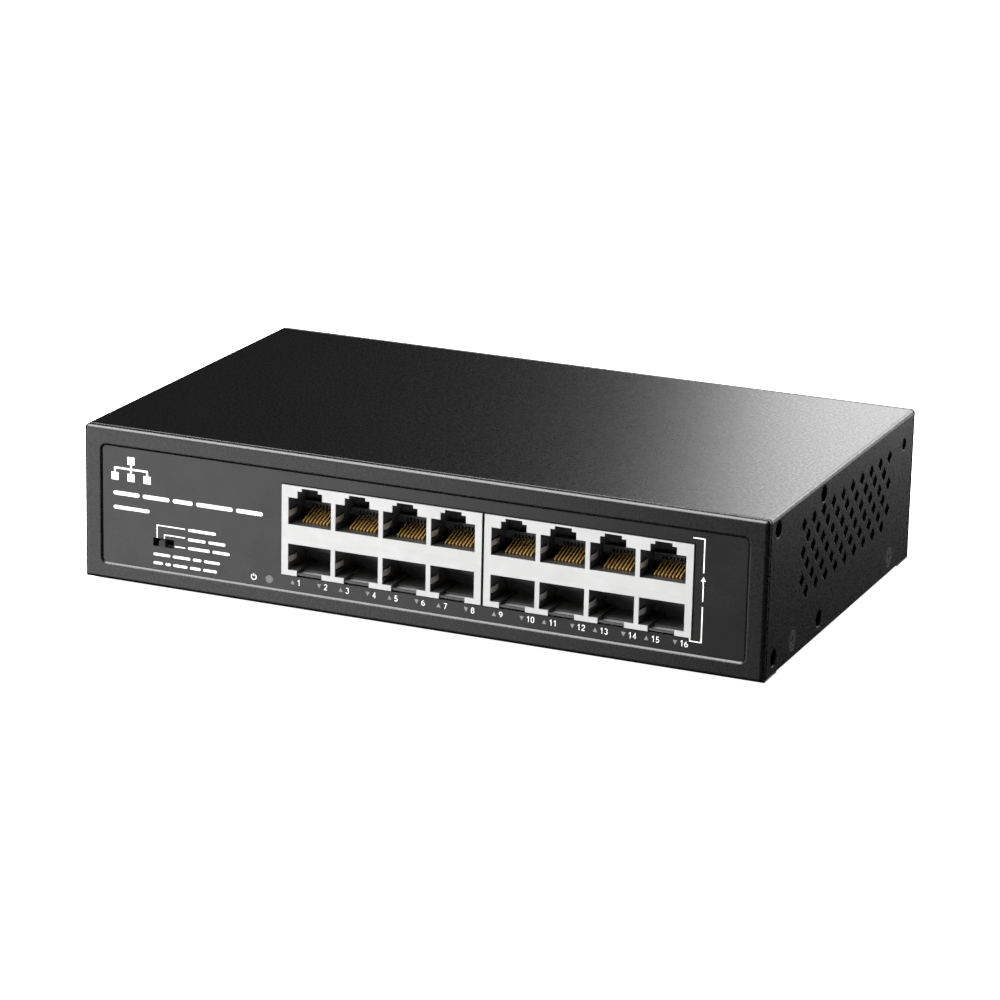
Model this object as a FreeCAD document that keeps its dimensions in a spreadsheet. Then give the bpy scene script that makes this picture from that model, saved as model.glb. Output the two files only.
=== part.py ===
import FreeCAD, Part

import math
import os

import Sketcher

# A 16-port desktop network switch. Millimetres; +X to the right along the front, the front faces -Y,
# +Z up. The origin is under the middle of the whole object, on the surface that its feet stand on.
# Depths are measured from the front of the case, heights from its underside.

SIZES = {
    # case of folded sheet steel
    "case_width": 200.0,
    "case_depth": 123.2,
    "case_height": 44.0,
    "sheet": 1.0,
    "bend": 1.1,
    "bend_inside": 0.3,
    "fit_gap": 0.15,
    "rim_depth": 1.5,
    "cover_set_back": 2.0,
    "cover_bottom_gap": 0.45,
    "tab_depth": 10.4,
    "tab_thick": 0.4,
    "flange_height": 10.0,
    "flange_start": 10.8,
    "top_flange_depth": 8.0,
    "corner_relief": 6.0,
    "foot_height": 1.6,
    "foot_radius": 5.2,
    "foot_taper": 0.6,
    "foot_inset": 16.0,
    # embossed recess of the front wall and the label in it
    "recess_width": 189.9,
    "recess_bottom": 4.5,
    "recess_height": 34.65,
    "recess_depth": 0.6,
    "recess_corner": 1.8,
    "recess_slope": 0.55,
    "label_inset": 0.6,
    "label_thick": 0.2,
    # vents in both sides: rows of diamonds, every second row shifted by part of a pitch
    "vent_side": 2.85,
    "vent_pitch": 8.03,
    "vent_shift": 3.6,
    "vent_row_pitch": 3.84,
    "vent_first_depth": 27.9,
    "vent_lowest": 14.27,
    # four rack-ear holes in each side, and a small one near the back
    "rack_hole_radius": 2.3,
    "rack_first_depth": 7.2,
    "rack_spacing_along": 36.2,
    "rack_lowest": 5.0,
    "rack_spacing_up": 35.0,
    "rack_clearance_radius": 3.0,
    "rear_hole_radius": 1.65,
    "rear_hole_depth": 113.4,
    "rear_hole_up": 35.9,
    # countersunk cover screws
    "screw_radius": 1.45,
    "screw_hole_radius": 1.5,
    "screw_length": 5.0,
    "screw_head_radius": 2.7,
    "screw_head_depth": 1.0,
    "screw_head_gap": 0.05,
    "cover_screw_up": 5.3,
    "cover_screw_first": 22.2,
    "cover_screw_last": 104.4,
    "cross_length": 2.9,
    "cross_width": 0.55,
    "cross_depth": 0.7,
    # two jack blocks of two rows by four columns
    "block_first_centre": -9.7,
    "block_spacing": 59.8,
    "block_width": 59.1,
    "block_depth": 22.0,
    "block_bottom": 9.45,
    "block_height": 25.5,
    "shield_sheet": 0.3,
    "port_pitch": 14.1,
    "port_width": 12.8,
    "port_depth": 12.0,
    "upper_floor": 23.9,
    "upper_shoulder": 31.55,
    "step_one_width": 7.4,
    "step_one_top": 33.55,
    "step_two_width": 4.85,
    "step_two_top": 34.45,
    "lower_ceiling": 18.45,
    "lower_shoulder": 10.95,
    "lower_notch_width": 7.5,
    "housing_margin": 0.4,
    "housing_back": 18.5,
    "notch_floor_depth": 8.0,
    "notch_sill_back": 1.0,
    "notch_lip_back": 4.2,
    "notch_floor_thick": 0.5,
    "underside_border": 1.2,
    "window_gap": 0.3,
    # spring fingers of the shield, and the pockets for them in the housing
    "upper_finger_up": 26.0,
    "lower_finger_up": 13.0,
    "finger_height": 1.7,
    "finger_length": 5.3,
    "finger_bend": 3.2,
    "finger_bulge": 0.35,
    "finger_end_bulge": 0.1,
    "finger_sheet": 0.25,
    "pocket_margin": 0.45,
    "pocket_depth": 0.35,
    # contacts, the covered channel that their legs lie in, and the toothed bar at their free ends
    "contact_pitch": 1.02,
    "contact_width": 0.32,
    "contact_thick": 0.3,
    "contact_edge": 0.1,
    "contact_front": 3.4,
    "contact_tip": 11.4,
    "contact_lift": 0.2,
    "contact_rise": 2.45,
    "upper_leg_back": 20.6,
    "lower_leg_back": 19.2,
    "channel_front": 3.0,
    "channel_width": 8.6,
    "channel_depth": 0.9,
    "channel_cover": 0.2,
    "channel_mouth": 1.2,
    "comb_front": 9.8,
    "comb_depth": 2.6,
    "comb_lift": 2.2,
    "comb_height": 2.1,
    "comb_slot_width": 0.6,
    "comb_slot_height": 1.4,
    # lamps under the jacks
    "lamp_first": -36.0,
    "lamp_block_spacing": 59.65,
    "lamp_pitch": 14.5,
    "lamp_pair": 8.0,
    "lamp_up": 7.5,
    "lamp_radius": 0.9,
    "lamp_hole_radius": 1.0,
    "guide_bar_back": 3.0,
    "guide_bar_thick": 1.1,
    "guide_bar_drop": 1.8,
    "guide_bar_height": 2.7,
    "guide_bar_end": 1.4,
    "power_lamp_along": -43.1,
    "power_lamp_up": 7.3,
    "power_lamp_radius": 1.15,
    "power_guide_length": 2.6,
    "led_length": 1.6,
    "led_width": 1.2,
    "led_height": 1.1,
    "led_set_back": 0.9,
    # mode switch
    "mode_along": -75.55,
    "mode_up": 12.93,
    "mode_slot_length": 6.5,
    "mode_slot_height": 2.4,
    "mode_slot_margin": 0.5,
    "mode_travel": 2.0,
    "knob_size": 1.9,
    "knob_edge": 0.25,
    "knob_stand_out": 0.6,
    "knob_clearance": 0.2,
    "slider_length": 4.0,
    "slider_height": 2.9,
    "slider_thick": 3.0,
    "slider_gap": 0.15,
    "slider_end_gap": 0.2,
    "channel_back_gap": 0.8,
    "mode_front": 2.6,
    "mode_back": 7.8,
    "mode_length": 10.6,
    "mode_top": 15.4,
    "mode_sheet": 0.3,
    "mode_pin_radius": 0.35,
    "mode_pin_hole_radius": 0.5,
    "mode_pin_pitch": 2.2,
    "mode_pin_depth": 6.2,
    "mode_pin_below": 1.2,
    "wiper_length": 3.2,
    "wiper_thick": 0.3,
    "wiper_height": 1.6,
    # boards
    "board_up": 7.8,
    "board_thick": 1.6,
    "main_board_width": 190.0,
    "main_board_front": 3.2,
    "main_board_back": 66.0,
    "main_fixing_side": 7.0,
    "main_fixing_front": 9.0,
    "main_fixing_back": 6.0,
    "main_fixing_middle": -14.0,
    "power_board_left": -95.0,
    "power_board_width": 112.0,
    "power_board_front": 71.0,
    "power_board_back": 119.0,
    "power_fixing_edge": 5.0,
    "standoff_radius": 2.6,
    "standoff_base": 1.2,
    "board_screw_head_radius": 2.7,
    "board_screw_head": 1.8,
    "board_screw_length": 5.0,
    "board_hole_radius": 1.7,
    "insulator_up": 2.2,
    "insulator_thick": 0.4,
    "insulator_margin": 1.0,
    # round parts of the boards
    "sink_fin_pitch": 3.5625,
    "inductor_spacing": 10.0,
    "transformer_pitch": 14.6,
    "groove_radius": 0.5,
    "groove_up": 1.8,
    "board_capacitor_radius": 3.15,
    "board_capacitor_height": 8.0,
    "bulk_capacitor_radius": 8.0,
    "bulk_capacitor_height": 27.0,
    "output_capacitor_radius": 4.0,
    "output_capacitor_height": 16.0,
    "fuse_left": -94.0,
    "fuse_depth": 86.0,
    "fuse_up": 3.2,
    "fuse_length": 20.0,
    "fuse_radius": 2.5,
    "fuse_cap_radius": 2.9,
    "fuse_cap_length": 5.0,
    "fuse_leg_spread": 16.0,
    "varistor_left": -86.0,
    "varistor_depth": 102.0,
    "varistor_radius": 5.6,
    "varistor_thick": 4.0,
    "choke_radius": 6.5,
    "choke_wire_radius": 3.2,
    "choke_up": 9.9,
    "sink_rib_pitch": 5.5,
    # mains inlet, pattern C14, and earth screw
    "inlet_along": -60.0,
    "inlet_up": 22.0,
    "flange_width": 31.0,
    "flange_tall": 24.0,
    "flange_thick": 2.5,
    "flange_corner": 2.0,
    "inlet_width": 27.0,
    "inlet_tall": 19.8,
    "inlet_depth": 20.0,
    "socket_width": 24.4,
    "socket_tall": 16.8,
    "socket_depth": 16.5,
    "socket_corner": 4.5,
    "pin_spread": 7.0,
    "pin_raise": 2.0,
    "pin_width": 2.0,
    "pin_tall": 4.0,
    "pin_recess": 4.5,
    "pin_slot_depth": 9.0,
    "pin_back": 1.5,
    "pin_leg_thick": 1.2,
    "earth_along": 34.0,
    "earth_up": 12.4,
    "earth_radius": 2.0,
    "earth_hole_radius": 2.05,
    "earth_head_radius": 3.8,
    "earth_head": 1.8,
    "earth_cross_length": 3.8,
    "earth_cross_width": 0.8,
    "washer_radius": 4.6,
    "washer_thick": 0.7,
    "earth_length": 8.0,
    # wires between the boards
    "wire_radius": 0.7,
    "wire_spacing": 2.5,
    "wire_rise": 16.0,
    "wire_first_along": -50.0,
    "wire_main_depth": 56.0,
    "wire_power_depth": 80.0,
    "header_length": 8.0,
    "header_width": 6.0,
    "header_height": 5.0,
    "plug_length": 6.6,
    "plug_width": 4.4,
    "plug_height": 4.0,
    # how far a cutter reaches past what it cuts
    "overrun": 1.0,
}

# Box-shaped parts of the boards: middle along the front, middle depth, height above the board, then
# length, width, height and the radius of the upright edges (0 for square ones).
BOX_COLUMNS = ("along", "depth", "up", "length", "width", "height", "corner")
BOX_PARTS = {
    "port_transformer": (0, 30.3, 0, 13.2, 9.6, 5.8, 0.6),
    "switch_chip": (20, 51, 0, 20, 20, 1.6, 0),
    "thermal_pad": (20, 51, 1.6, 18, 18, 0.5, 0),
    "sink_base": (20, 51, 2.1, 30, 26, 3, 0),
    "sink_fin": (20, 51, 5.1, 1.5, 26, 9, 0),
    "flash_chip": (46, 48, 0, 5.3, 8, 1.8, 0),
    "crystal": (-4.3, 46.3, 0, 11.4, 4.6, 3.5, 2.2),
    "board_inductor": (-30.5, 48.5, 0, 7, 7, 4.2, 1.5),
    "mains_capacitor": (-63.25, 84.25, 0, 17.5, 8.5, 14, 0.8),
    "fuse_leg": (-84, 86, 0, 1, 1, 3, 0),
    "choke_base": (-60, 95, 0, 16, 7, 1.5, 0),
    "bridge_rectifier": (-43, 89, 0, 14, 4, 10, 0.5),
    "power_transistor": (-22, 84, 3, 10, 4.5, 15, 0),
    "transistor_sink_plate": (-22, 87.35, 0, 24, 2, 24, 0),
    "transistor_sink_rib": (-22, 90, 4, 1.4, 4, 20, 0),
    "transformer_core_blank": (-8, 105, 2, 26, 7.5, 20, 0),
    "transformer_window": (-8, 105, 5.2, 18, 9, 13.6, 0),
    "transformer_coil": (-8, 105, 5.5, 16.8, 18, 13, 3),
    "bobbin_foot": (-8, 105, 0, 22, 18, 1.9, 0),
    "bobbin_slot": (-8, 105, -1, 16, 4, 4, 0),
}

# Radial capacitors: middle along the front and middle depth of each.
CAPACITOR_PLACES = {
    "board_capacitor": ((-66, 28), (-66, 37), (-20, 52), (62, 54)),
    "bulk_capacitor": ((-34, 104),),
    "output_capacitor": ((11, 86), (11, 96), (11, 106)),
}

COVER_SCREW_DEPTHS = ("cover_screw_first", "cover_screw_last")
COLUMNS = 4
CONTACTS_PER_PORT = 8
VENT_ROWS = 6
VENTS_PER_ROW = 10
SINK_FINS = 9
SINK_RIBS = 5
MODE_PINS = 4
ARC_REACH = 0.45
VOLUME_TOLERANCE = 0.02
SIDES = (-1, 1)
ENDS = (-1, 1)

PLANE_NORMAL = {"XY_Plane": 1, "XZ_Plane": -1, "YZ_Plane": 1}


class Size:
    """A length with the sheet formula that gives it, so that arithmetic keeps both."""

    def __init__(self, number, formula):
        self.number = number
        self.formula = formula

    def __add__(self, other):
        other = as_size(other)
        return Size(self.number + other.number, f"({self.formula} + {other.formula})")

    __radd__ = __add__

    def __neg__(self):
        return Size(-self.number, f"(0 - {self.formula})")

    def __sub__(self, other):
        other = as_size(other)
        return Size(self.number - other.number, f"({self.formula} - {other.formula})")

    def __rsub__(self, other):
        return as_size(other) - self

    def __mul__(self, factor):
        factor = as_size(factor)
        return Size(self.number * factor.number, f"({self.formula} * {factor.formula})")

    __rmul__ = __mul__

    def __truediv__(self, divisor):
        return Size(self.number / divisor, f"({self.formula} / {divisor})")


def as_size(value):
    return value if isinstance(value, Size) else Size(float(value), f"({value})")


class Sheet:
    """The driving dimensions, by name."""


doc = FreeCAD.newDocument("network_switch")
cells = doc.addObject("Spreadsheet::Sheet", "Sizes")
s = Sheet()
for name, numbers in BOX_PARTS.items():
    for column, number in zip(BOX_COLUMNS, numbers):
        SIZES[f"{name}_{column}"] = float(number)
for row, (alias, number) in enumerate(SIZES.items(), start=1):
    cells.set(f"A{row}", alias)
    cells.set(f"B{row}", str(number))
    cells.setAlias(f"B{row}", alias)
    setattr(s, alias, Size(number, f"Sizes.{alias}"))
doc.recompute()

# Main planes of the case.
front = -(s.knob_stand_out + s.case_depth + s.flange_thick) / 2 + s.knob_stand_out
rear = front + s.case_depth
bottom = s.foot_height
top = bottom + s.case_height
side = s.case_width / 2
inner_side = side - s.sheet
base_side = inner_side - s.fit_gap
wall_top = top - s.sheet - s.fit_gap
board_top = bottom + s.board_up + s.board_thick
nodes = {}


# ---- Building blocks ----

def bind(item, prop, size):
    item.setExpression(prop, as_size(size).formula)


def put(item, at, rotation=None):
    """Place an item at a point given by three sizes, turned by a rotation."""
    item.Placement = FreeCAD.Placement(FreeCAD.Vector(), rotation or FreeCAD.Rotation())
    for axis, size in zip("xyz", at):
        bind(item, f"Placement.Base.{axis}", size)


def block(name, at, size):
    """A box by its lowest corner and its three lengths."""
    item = doc.addObject("Part::Box", name)
    for prop, length in zip(("Length", "Width", "Height"), size):
        bind(item, prop, length)
    put(item, at)
    return item


def middle_block(name, middle, size):
    """A box by the middle of its underside in x and y, and its three lengths."""
    size = [as_size(length) for length in size]
    return block(name, (middle[0] - size[0] / 2, middle[1] - size[1] / 2, middle[2]), size)


TURN = {
    "x": FreeCAD.Rotation(FreeCAD.Vector(0, 1, 0), 90),
    "y": FreeCAD.Rotation(FreeCAD.Vector(1, 0, 0), -90),
    "z": FreeCAD.Rotation(),
}
DIAMOND = FreeCAD.Rotation(FreeCAD.Vector(1, 0, 0), 45)


def rod(name, at, radius, length, axis="z"):
    item = doc.addObject("Part::Cylinder", name)
    bind(item, "Radius", radius)
    bind(item, "Height", length)
    put(item, at, TURN[axis])
    return item


def taper(name, at, first_radius, last_radius, length, axis="z"):
    item = doc.addObject("Part::Cone", name)
    bind(item, "Radius1", first_radius)
    bind(item, "Radius2", last_radius)
    bind(item, "Height", length)
    put(item, at, TURN[axis])
    return item


def fuse(name, pieces):
    item = doc.addObject("Part::MultiFuse", name)
    item.Shapes = pieces
    return item


def cut(name, base, tools):
    item = doc.addObject("Part::Cut", name)
    item.Base = base
    item.Tool = tools[0] if len(tools) == 1 else fuse(name + "_openings", tools)
    return item


def group(name, pieces):
    """Separate solids that share a node."""
    item = doc.addObject("Part::Compound", name)
    item.Links = pieces
    return item


def node(item):
    nodes[item.Label] = item
    return item


def new_body(name):
    return doc.addObject("PartDesign::Body", name)


def draw(body, plane, start, outline):
    """A closed outline of straight lines on a plane of the body, each corner held from the origin."""
    drawing = body.newObject("Sketcher::SketchObject", body.Name + "_outline")
    support = next(item for item in body.Origin.OriginFeatures if item.Role == plane)
    drawing.AttachmentSupport = (support, [""])
    drawing.MapMode = "FlatFace"
    bind(drawing, "AttachmentOffset.Base.z", as_size(start) * PLANE_NORMAL[plane])
    corners = [(as_size(across), as_size(up)) for across, up in outline]
    points = [FreeCAD.Vector(across.number, up.number, 0) for across, up in corners]
    count = len(points)
    for index, point in enumerate(points):
        drawing.addGeometry(Part.LineSegment(point, points[(index + 1) % count]), False)
    for index in range(count):
        drawing.addConstraint(Sketcher.Constraint("Coincident", index, 2, (index + 1) % count, 1))
    for index, corner in enumerate(corners):
        for kind, size in zip(("DistanceX", "DistanceY"), corner):
            constraint = drawing.addConstraint(Sketcher.Constraint(kind, -1, 1, index, 1, size.number))
            bind(drawing, f"Constraints[{constraint}]", size)
    return drawing


def pad(body, plane, start, length, outline):
    """Add the outline to the body, from start along the plane's axis."""
    feature = body.newObject("PartDesign::Pad", body.Name + "_pad")
    feature.Profile = draw(body, plane, start, outline)
    bind(feature, "Length", length)
    feature.Reversed = PLANE_NORMAL[plane] < 0
    doc.recompute()
    return feature


def round_edges(body, radius, wanted, kind="Fillet"):
    """Round, or chamfer, the edges of the body that the test picks."""
    base = body.Tip
    names = [f"Edge{index}" for index, edge in enumerate(base.Shape.Edges, start=1) if wanted(edge)]
    feature = body.newObject(f"PartDesign::{kind}", body.Name + "_edges")
    feature.Base = (base, names)
    bind(feature, "Radius" if kind == "Fillet" else "Size", radius)
    doc.recompute()
    return feature


def near(value, size):
    return abs(value - as_size(size).number) < 0.01


def runs_along(edge, axis):
    """True for a straight edge parallel to the axis."""
    lengths = {"x": edge.BoundBox.XLength, "y": edge.BoundBox.YLength, "z": edge.BoundBox.ZLength}
    along = lengths.pop(axis)
    return along > 0.1 and max(lengths.values()) < 0.001


def box_outline(left, low, width, height):
    return [(left, low), (left + width, low), (left + width, low + height), (left, low + height)]


def plate(name, plane, start, thick, outline, corner_radius):
    """A flat piece with rounded corners."""
    body = new_body(name)
    pad(body, plane, start, thick, outline)
    axis = {"XY_Plane": "z", "XZ_Plane": "y", "YZ_Plane": "x"}[plane]
    round_edges(body, corner_radius, lambda edge: runs_along(edge, axis))
    return body


def cross_cutters(name, along, depth, low):
    """The two slots of a cross recess in a screw head that faces up."""
    return [middle_block(name, (along, depth, low), (length, width, s.cross_depth + s.overrun))
            for length, width in ((s.cross_length, s.cross_width), (s.cross_width, s.cross_length))]


def sizes_of(name, *columns):
    return [getattr(s, f"{name}_{column}") for column in columns]


def board_part(kind, name=None, along=0, depth=0):
    """A box-shaped part on its board, moved from its first place by along and depth."""
    first_along, first_depth, up = sizes_of(kind, "along", "depth", "up")
    length, width, height = sizes_of(kind, "length", "width", "height")
    middle = (first_along + along, front + first_depth + depth, board_top + up)
    corner = getattr(s, f"{kind}_corner")
    if not corner.number:
        return middle_block(name or kind, middle, (length, width, height))
    outline = box_outline(middle[0] - length / 2, middle[1] - width / 2, length, width)
    return plate(name or kind, "XY_Plane", middle[2], height, outline, corner)


def copies(name, unit, places):
    """One node of equal solids: the unit's shape moved to each place."""
    doc.recompute()
    shapes = [unit.Shape.translated(place) for place in places]
    item = doc.addObject("Part::Feature", name)
    item.Shape = Part.makeCompound(shapes)
    return item


def shift(along):
    return FreeCAD.Vector(as_size(along).number, 0, 0)


# ---- Places that several pieces share ----

def block_centre(index):
    return s.block_first_centre + index * s.block_spacing


def port_centre(block_index, column):
    return block_centre(block_index) + (column - (COLUMNS - 1) / 2) * s.port_pitch


def lamp_centres(block_index):
    """The eight lamps of a block: an upper and a lower port's lamp for each column."""
    first = s.lamp_first + block_index * s.lamp_block_spacing
    return [first + column * s.lamp_pitch + pair * s.lamp_pair
            for column in range(COLUMNS) for pair in (0, 1)]


def rack_holes(levels):
    """Depth and height of the rack-ear holes of a side; level 0 is the lower row."""
    for along in (0, 1):
        for level in levels:
            yield (front + s.rack_first_depth + along * s.rack_spacing_along,
                   bottom + s.rack_lowest + level * s.rack_spacing_up)


def through_both_sides(name, radius, depth, up):
    return rod(name, (-side - s.overrun, depth, up), radius, s.case_width + 2 * s.overrun, "x")


def main_board_fixings():
    edge = s.main_board_width / 2 - s.main_fixing_side
    near_front = front + s.main_board_front + s.main_fixing_front
    near_back = front + s.main_board_back - s.main_fixing_back
    places = [(sign * edge, depth) for sign in SIDES for depth in (near_front, near_back)]
    return places + [(s.main_fixing_middle, near_back)]


def power_board_fixings():
    left = s.power_board_left + s.power_fixing_edge
    right = s.power_board_left + s.power_board_width - s.power_fixing_edge
    depths = (front + s.power_board_front + s.power_fixing_edge,
              front + s.power_board_back - s.power_fixing_edge)
    return [(along, depth) for along in (left, right) for depth in depths]


# ---- Case ----

def jack_window(name, start, length):
    """The opening of the front wall and of the label around both jack blocks."""
    left = block_centre(0) - s.block_width / 2 - s.window_gap
    width = s.block_spacing + s.block_width + 2 * s.window_gap
    return block(name, (left, start, bottom + s.block_bottom - s.window_gap),
                 (width, length, s.block_height + 2 * s.window_gap))


def slot(name, start, length, margin):
    """The opening in front of the mode switch's knob."""
    return block(name, (s.mode_along - s.mode_slot_length / 2 - margin, start,
                        bottom + s.mode_up - s.mode_slot_height / 2 - margin),
                 (s.mode_slot_length + 2 * margin, length, s.mode_slot_height + 2 * margin))


def end_start(end, inset, length):
    """Where a piece of this length starts that lies inset behind the front face, or the rear one."""
    return front + inset if end < 0 else rear - inset - length


def end_panel(name, end):
    """The front or the rear wall: full width and height, with a rim that the cover stops short of."""
    body = new_body(name)
    outer = front if end < 0 else rear
    pad(body, "XZ_Plane", end_start(end, 0, s.rim_depth), s.rim_depth,
        box_outline(-side, bottom, s.case_width, s.case_height))

    def outer_edge(edge):
        on_face = near(edge.BoundBox.YMin, outer) and near(edge.BoundBox.YMax, outer)
        return on_face or (runs_along(edge, "y") and near(edge.BoundBox.ZMin, top))

    round_edges(body, s.bend, outer_edge)
    hollow_length = s.rim_depth - s.sheet + s.overrun
    hollow = block(name + "_hollow", (-inner_side, end_start(end, s.sheet, hollow_length), bottom + s.sheet),
                   (2 * inner_side, hollow_length, wall_top - 2 * s.sheet - bottom))
    return cut(name + "_rimmed", body, [hollow])


def base_side_flange(sign):
    """A low flange along a side edge of the bottom, which the cover screws go into."""
    body = new_body("side_flange")
    outer = sign * base_side
    inner = sign * (base_side - s.sheet)
    foot = sign * (base_side - s.corner_relief)
    profile = [
        (foot, bottom), (outer, bottom), (outer, bottom + s.flange_height),
        (inner, bottom + s.flange_height), (inner, bottom + s.sheet), (foot, bottom + s.sheet),
    ]
    pad(body, "XZ_Plane", front + s.flange_start, s.case_depth - 2 * s.flange_start, profile)

    def bend(edge):
        middle = edge.BoundBox.Center
        return runs_along(edge, "y") and near(middle.x, outer) and near(middle.z, bottom)

    round_edges(body, s.bend, bend)
    return body


def recess(name, start, thick, slope):
    """The rounded rectangle of the front recess, with a sloped edge where the sheet is pressed in."""
    outline = box_outline(-s.recess_width / 2, bottom + s.recess_bottom, s.recess_width, s.recess_height)
    body = plate(name, "XZ_Plane", start, thick, outline, s.recess_corner)
    if slope:
        deepest = start + thick
        round_edges(body, slope, lambda edge: near(edge.BoundBox.YMin, deepest)
                    and near(edge.BoundBox.YMax, deepest), "Chamfer")
    return body


def base_chassis():
    """The bottom, the front and rear walls with their top flanges, and the two side flanges."""
    inner_half = base_side - s.corner_relief
    pieces = [block("floor", (-inner_half, front + s.bend, bottom),
                    (2 * inner_half, s.case_depth - 2 * s.bend, s.sheet))]
    for end in ENDS:
        pieces.append(end_panel("end_panel", end))
        for name, half_width, reach, low, thick in (
                ("floor_end", base_side, s.flange_start, bottom, s.sheet),
                ("corner_tabs", side, s.tab_depth, bottom, s.tab_thick),
                ("top_flange", inner_half, s.top_flange_depth, wall_top - s.sheet, s.sheet)):
            length = reach - s.bend
            pieces.append(block(name, (-half_width, end_start(end, s.bend, length), low),
                                (2 * half_width, length, thick)))
    pieces.append(recess("recess_bulge", front + s.sheet, s.recess_depth, None))
    solid = fuse("base_solid", pieces + [base_side_flange(sign) for sign in SIDES])

    start = front - s.overrun
    through = s.sheet + s.recess_depth + 2 * s.overrun
    openings = [
        recess("recess_hollow", start, s.recess_depth + s.overrun, s.recess_slope),
        jack_window("jack_window", start, through),
        slot("mode_slot", start, through, s.mode_slot_margin),
        rod("power_lamp_hole", (s.power_lamp_along, start, bottom + s.power_lamp_up),
            s.power_lamp_radius + s.screw_head_gap, through, "y"),
    ]
    openings += [rod("lamp_hole", (centre, start, bottom + s.lamp_up), s.lamp_hole_radius, through, "y")
                 for block_index in (0, 1) for centre in lamp_centres(block_index)]
    openings += [through_both_sides("rack_clearance", s.rack_clearance_radius, depth, up)
                 for depth, up in rack_holes((0,))]
    openings += [through_both_sides("cover_screw_hole", s.screw_hole_radius, front + getattr(s, depth),
                                    bottom + s.cover_screw_up) for depth in COVER_SCREW_DEPTHS]
    openings.append(middle_block("inlet_opening",
                                 (s.inlet_along, rear, bottom + s.inlet_up - s.inlet_tall / 2 - s.fit_gap),
                                 (s.inlet_width + 2 * s.fit_gap, 2 * s.rim_depth + s.overrun,
                                  s.inlet_tall + 2 * s.fit_gap)))
    openings.append(rod("earth_hole", (s.earth_along, rear - s.sheet - s.overrun, bottom + s.earth_up),
                        s.earth_hole_radius, s.sheet + 2 * s.overrun, "y"))
    node(cut("base_chassis", solid, openings))


def top_cover():
    """The top and both sides, folded from one sheet, with the vents and holes of the sides."""
    shell = new_body("cover_shell")
    low = bottom + s.cover_bottom_gap
    profile = [
        (-side, low), (-inner_side, low), (-inner_side, top - s.sheet), (inner_side, top - s.sheet),
        (inner_side, low), (side, low), (side, top), (-side, top),
    ]
    pad(shell, "XZ_Plane", front + s.cover_set_back, s.case_depth - 2 * s.cover_set_back, profile)
    round_edges(shell, s.bend, lambda edge: runs_along(edge, "y") and near(edge.BoundBox.ZMin, top))
    round_edges(shell, s.bend_inside, lambda edge: runs_along(edge, "y")
                and near(edge.BoundBox.ZMin, top - s.sheet))
    openings = []
    for vent_row in range(VENT_ROWS):
        shifted = vent_row % 2 == 0
        first = front + s.vent_first_depth + (s.vent_shift if shifted else 0)
        for column in range(VENTS_PER_ROW - 1 if shifted else VENTS_PER_ROW):
            vent = block("vent", (0, 0, 0), (s.case_width + 2 * s.overrun, s.vent_side, s.vent_side))
            put(vent, (-side - s.overrun, first + column * s.vent_pitch,
                       bottom + s.vent_lowest + vent_row * s.vent_row_pitch), DIAMOND)
            openings.append(vent)
    openings += [through_both_sides("rack_hole", s.rack_hole_radius, depth, up)
                 for depth, up in rack_holes((0, 1))]
    openings.append(through_both_sides("rear_hole", s.rear_hole_radius, front + s.rear_hole_depth,
                                       bottom + s.rear_hole_up))
    openings += [screw_head("countersink", sign, front + getattr(s, depth), s.screw_head_gap)
                 for depth in COVER_SCREW_DEPTHS for sign in SIDES]
    node(cut("top_cover", shell, openings))


def screw_head(name, sign, depth, margin):
    """The cone of a countersunk head in a side sheet, wide at its outer face."""
    wide = s.screw_head_radius + margin
    narrow = wide - s.screw_head_depth
    up = bottom + s.cover_screw_up
    if sign > 0:
        return taper(name, (inner_side, depth, up), narrow, wide, s.sheet, "x")
    return taper(name, (-side, depth, up), wide, narrow, s.sheet, "x")


def cover_screws():
    screws = []
    up = bottom + s.cover_screw_up
    for depth_name in COVER_SCREW_DEPTHS:
        depth = front + getattr(s, depth_name)
        for sign in SIDES:
            head = screw_head("screw_head", sign, depth, 0)
            shank_start = inner_side - s.screw_length if sign > 0 else -inner_side
            shank = rod("screw_shank", (shank_start, depth, up), s.screw_radius, s.screw_length, "x")
            deep = s.cross_depth + s.overrun
            middle = sign * (side - s.cross_depth + deep / 2)
            crosses = [middle_block("cross", (middle, depth, up - tall / 2), (deep, wide, tall))
                       for wide, tall in ((s.cross_length, s.cross_width), (s.cross_width, s.cross_length))]
            screws.append(cut("cover_screw", fuse("screw_blank", [head, shank]), crosses))
    node(group("cover_screws", screws))


def front_label():
    """The film in the recess, open at the jacks, at the mode switch and at the power lamp."""
    outline = box_outline(-s.recess_width / 2 + s.label_inset, bottom + s.recess_bottom + s.label_inset,
                          s.recess_width - 2 * s.label_inset, s.recess_height - 2 * s.label_inset)
    start = front + s.recess_depth - s.label_thick
    film = plate("label_film", "XZ_Plane", start, s.label_thick, outline, s.recess_corner - s.label_inset)
    cutter_start = start - s.overrun
    through = s.label_thick + 2 * s.overrun
    openings = [
        jack_window("label_window", cutter_start, through),
        slot("label_slot", cutter_start, through, as_size(0)),
        rod("label_lamp_hole", (s.power_lamp_along, cutter_start, bottom + s.power_lamp_up),
            s.power_lamp_radius + s.screw_head_gap, through, "y"),
    ]
    node(cut("front_label", film, openings))


def rubber_feet():
    feet = []
    for sign in SIDES:
        for depth in (front + s.foot_inset, rear - s.foot_inset):
            feet.append(taper("foot", (sign * (side - s.foot_inset), depth, 0),
                              s.foot_radius - s.foot_taper, s.foot_radius, s.foot_height))
    node(group("rubber_feet", feet))


# ---- Jacks ----

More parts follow.
